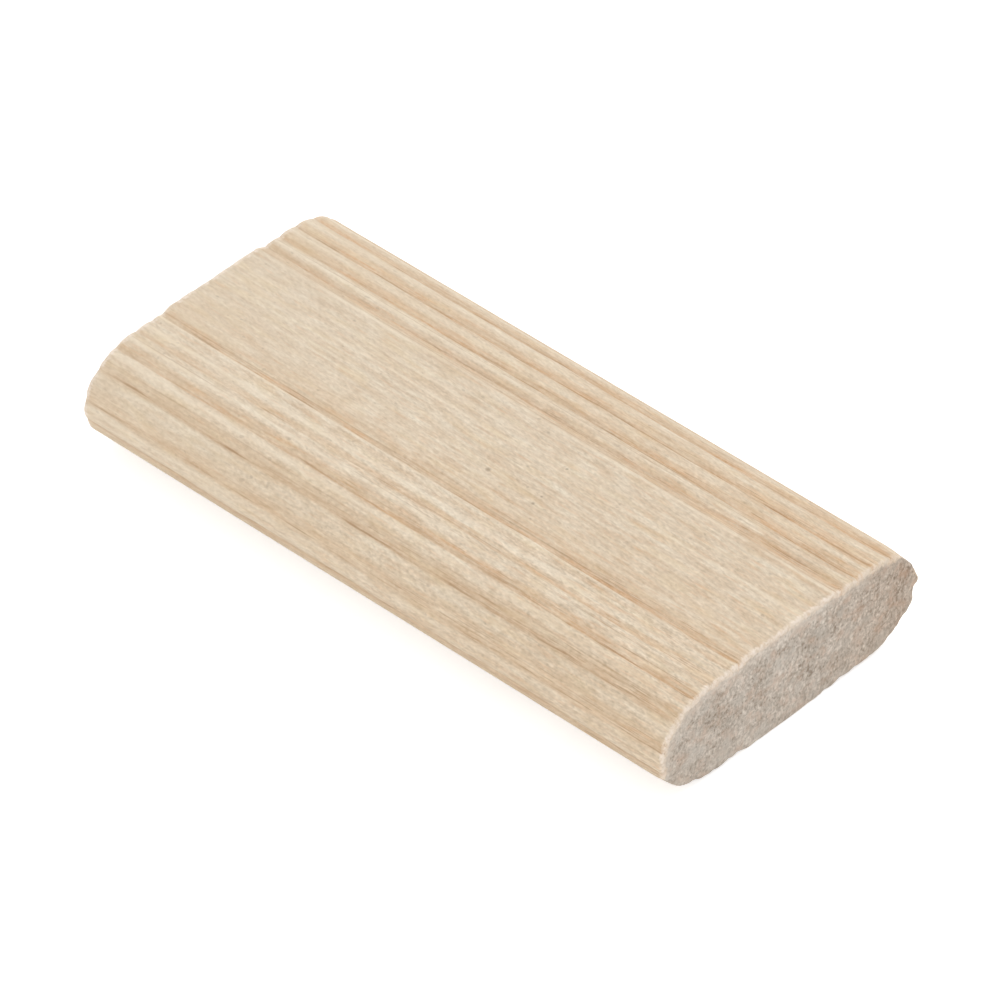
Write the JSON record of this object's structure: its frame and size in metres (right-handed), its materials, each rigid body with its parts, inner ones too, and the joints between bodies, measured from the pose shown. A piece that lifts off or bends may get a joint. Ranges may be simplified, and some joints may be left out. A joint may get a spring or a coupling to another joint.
{
  "type": "loose tenon",
  "caption": "Flat wooden tenon with rounded, beaded long edges, plain bands on both broad faces and square-cut ends, for gluing into two facing mortises.",
  "frame": {"origin": "centre of the tenon, so the plane X = 0 is the line of the joint", "axes": "+X along the length and the grain, +Y across the width, +Z through the thickness"},
  "size_m": [0.05, 0.024, 0.0078],
  "materials": {
    "wood": "bare wood, planed faces and sawn ends, matte"
  },
  "bodies": {
    "root": {"tenon": "wood"}
  },
  "joints": []
}
